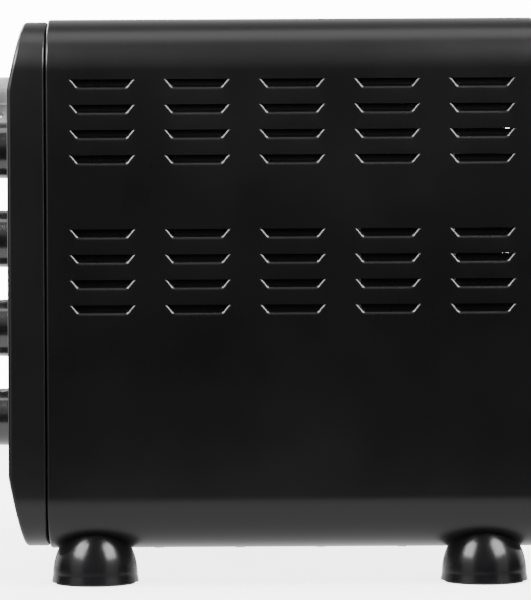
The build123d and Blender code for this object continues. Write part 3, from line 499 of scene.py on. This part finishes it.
def knob_trim(control, material):
    """A bright ring round the foot of a knob."""
    low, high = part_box(f"knob_{control}")
    inner = (high.x - low.x) / 2 + TRIM_GAP
    outer, rear, front = inner + TRIM_THICKNESS, high.y, high.y - TRIM_DEPTH
    profile = [(inner, rear), (outer, rear)]
    profile += rounded_corner(outer - TRIM_CORNER, front + TRIM_CORNER, TRIM_CORNER, -90)[::-1]
    profile += [(inner, front)]
    shape = bmesh.new()
    lathe(shape, knob_centre(control), profile)
    ring = make_piece(f"knob_trim_{control}", shape, material, f"dial_{control}", smooth=True)
    split = ring.modifiers.new("creases", "EDGE_SPLIT")
    split.split_angle = TRIM_CREASE


def knob_pointer(control, material):
    """A pale inlay that fills the groove in the knob's grip."""
    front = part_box(f"knob_{control}")[0].y
    centre_x, centre_z = knob_centre(control)
    shape = bmesh.new()
    bmesh.ops.create_cube(shape, size=1.0)
    for vertex in shape.verts:
        vertex.co = Vector((
            centre_x + vertex.co.x * POINTER_WIDTH,
            front + POINTER_DEPTH + vertex.co.y * POINTER_THICKNESS,
            centre_z + (POINTER_START + POINTER_END) / 2 + vertex.co.z * (POINTER_END - POINTER_START),
        ))
    bmesh.ops.bevel(
        shape, geom=shape.edges[:], offset=POINTER_CORNER, segments=3, profile=0.5, affect="EDGES"
    )
    make_piece(f"knob_pointer_{control}", shape, material, f"dial_{control}", smooth=True)


pale_ink = ink("pale_ink", (0.72, 0.72, 0.70))
trim_chrome = plated("knob_trim_chrome", (0.78, 0.78, 0.79), 0.16)
pointer_white = moulded("pointer_inlay", (0.68, 0.68, 0.66), 0.35, 900.0, 0.00001)
for control in DIALS:
    dial_marks(control, pale_ink)
    knob_trim(control, trim_chrome)
    knob_pointer(control, pointer_white)


# ---------------------------------------------------------------- floor, world, lights and camera
# what the camera sees directly
BACKDROP = 14.0
FLOOR_SEEN = 3.6
FLOOR_RADIUS = 3.0
# what lights the oven and is mirrored in it
FLOOR_DIM = 2.1
POOL_RADIUS = 0.56  # the floor glows only this far out
POOL_FADE = 0.08
STUDIO_DARK = 0.02  # floor beyond the pool, and walls at eye level
STUDIO_WALL = 0.5  # above eye level
STUDIO_BACK = 0.8  # towards -X
STUDIO_SIDE = 2.0  # two bands, towards -Y and +Y
# radiance and size of the lights
STRIP_RADIANCE, STRIP_SIZE = 3.5, (2.4, 0.6)
OVERHEAD_RADIANCE, OVERHEAD_SIZE = 2.0, (2.0, 2.0)
GLINT_RADIANCE = {"right": 45.0, "left": 14.0}  # the right ones light the louvre ends in the main view
FILL_RADIANCE = 12.0
CORNER_SIZE = (1.0, 1.0)


def stage_floor():
    """A round floor: matt and near white for the camera, a dim pool of glow for every other ray."""
    mesh = bpy.data.meshes.new("studio_floor")
    disc = bmesh.new()
    bmesh.ops.create_circle(disc, cap_ends=True, segments=128, radius=FLOOR_RADIUS)
    disc.to_mesh(mesh)
    disc.free()
    floor = bpy.data.objects.new("studio_floor", mesh)
    bpy.context.scene.collection.objects.link(floor)
    material, tree, shader = new_material("pale_floor")
    cloud = noise(tree, object_point(tree), 3.0, 2.0)
    tree.links.new(
        mix_colour(tree, cloud, (0.92, 0.92, 0.92), (0.95, 0.95, 0.95)), shader.inputs["Base Color"]
    )
    shader.inputs["Roughness"].default_value = 0.8
    shader.inputs["Specular IOR Level"].default_value = 0.1
    shader.inputs["Emission Color"].default_value = (1, 1, 1, 1)
    shader.inputs["Emission Strength"].default_value = FLOOR_SEEN
    reach = add_node(tree, "ShaderNodeVectorMath", operation="LENGTH")
    tree.links.new(object_point(tree), reach.inputs[0])
    dim = add_node(tree, "ShaderNodeEmission")
    pool = ramp(tree, reach.outputs["Value"], POOL_RADIUS - POOL_FADE, POOL_RADIUS, FLOOR_DIM, STUDIO_DARK)
    tree.links.new(pool, dim.inputs["Strength"])
    path = add_node(tree, "ShaderNodeLightPath")
    choice = add_node(tree, "ShaderNodeMixShader")
    tree.links.new(path.outputs["Is Camera Ray"], choice.inputs[0])
    tree.links.new(dim.outputs[0], choice.inputs[1])
    tree.links.new(shader.outputs[0], choice.inputs[2])
    tree.links.new(choice.outputs[0], tree.nodes["Material Output"].inputs["Surface"])
    mesh.materials.append(material)


def pale_world():
    """White where the camera looks past the oven; for every other ray, a studio dark at eye level."""
    world = bpy.data.worlds.new("studio")
    bpy.context.scene.world = world
    world.use_nodes = True
    tree = world.node_tree
    tree.nodes.clear()
    direction = add_node(tree, "ShaderNodeTexCoord")
    parts = add_node(tree, "ShaderNodeSeparateXYZ")
    tree.links.new(direction.outputs["Generated"], parts.inputs[0])
    wall = ramp(tree, parts.outputs["Z"], 0.1, 0.3, STUDIO_DARK, STUDIO_WALL)
    back = ramp(tree, parts.outputs["X"], -0.9, -0.4, STUDIO_BACK, 0.0)
    sideways = maths(tree, "ABSOLUTE", parts.outputs["Y"])
    flanks = maths(
        tree, "MULTIPLY", ramp(tree, sideways, 0.45, 0.6, 0.0, STUDIO_SIDE),
        ramp(tree, sideways, 0.86, 0.95, 1.0, 0.0),
    )
    total = maths(tree, "ADD", maths(tree, "ADD", wall, back), flanks)
    lit = add_node(tree, "ShaderNodeBackground", Color=(1, 1, 1, 1))
    tree.links.new(total, lit.inputs["Strength"])
    seen = add_node(tree, "ShaderNodeBackground", Color=(1, 1, 1, 1), Strength=BACKDROP)
    path = add_node(tree, "ShaderNodeLightPath")
    mix = add_node(tree, "ShaderNodeMixShader")
    out = add_node(tree, "ShaderNodeOutputWorld")
    tree.links.new(path.outputs["Is Camera Ray"], mix.inputs[0])
    tree.links.new(lit.outputs[0], mix.inputs[1])
    tree.links.new(seen.outputs[0], mix.inputs[2])
    tree.links.new(mix.outputs[0], out.inputs["Surface"])


def softbox(name, place, target, size, radiance, mirrored=True, filling=True):
    """A rectangular area light of a given radiance, for gloss, for diffuse light or for both."""
    light = bpy.data.lights.new(name, "AREA")
    light.shape = "RECTANGLE"
    light.size, light.size_y = size
    light.energy = radiance * math.pi * size[0] * size[1]
    lamp = bpy.data.objects.new(name, light)
    bpy.context.scene.collection.objects.link(lamp)
    lamp.location = place
    lamp.rotation_euler = (Vector(target) - Vector(place)).to_track_quat("-Z", "Y").to_euler()
    lamp.visible_glossy = mirrored
    lamp.visible_diffuse = filling


stage_floor()
pale_world()
softbox("overhead_strip", (0.36, 0.0, 1.6), (0.24, 0.0, 0.34), STRIP_SIZE, STRIP_RADIANCE)
softbox("overhead_fill", (0.0, 0.0, 2.4), (0.0, 0.0, 0.0), OVERHEAD_SIZE, OVERHEAD_RADIANCE, mirrored=False)
for side, side_name in ((1, "right"), (-1, "left")):
    for end, end_name in ((-1, "front"), (1, "rear")):
        place, target = (side * 1.15, end * 1.2, 1.35), (side * 0.25, 0.0, 0.25)
        glint = GLINT_RADIANCE[side_name]
        softbox(f"{side_name}_{end_name}_glint", place, target, CORNER_SIZE, glint, filling=False)
        softbox(f"{side_name}_{end_name}_fill", place, target, CORNER_SIZE, FILL_RADIANCE, mirrored=False)

VIEW_DISTANCE = 1.8
SEEN_WIDTH = 0.340  # what the picture takes in across the plane of the right side panel
AIM_Y, AIM_Z = 0.0155, 0.1835  # the point of the right side panel in the middle of the picture
CAMERA_ROLL = math.radians(-0.3)
SENSOR_WIDTH = 36.0
aim = Vector((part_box("outer_case")[1].x, AIM_Y, AIM_Z))
camera_data = bpy.data.cameras.new("photo_camera")
camera_data.sensor_fit = "HORIZONTAL"
camera_data.sensor_width = SENSOR_WIDTH
camera_data.lens = SENSOR_WIDTH * VIEW_DISTANCE / SEEN_WIDTH
camera = bpy.data.objects.new("photo_camera", camera_data)
bpy.context.scene.collection.objects.link(camera)
facing_left = Vector((-1.0, 0.0, 0.0)).to_track_quat("-Z", "Y").to_matrix().to_4x4()
stand = Matrix.Translation(aim + Vector((VIEW_DISTANCE, 0, 0)))
camera.matrix_world = stand @ facing_left @ Matrix.Rotation(CAMERA_ROLL, 4, "Z")
bpy.context.scene.camera = camera
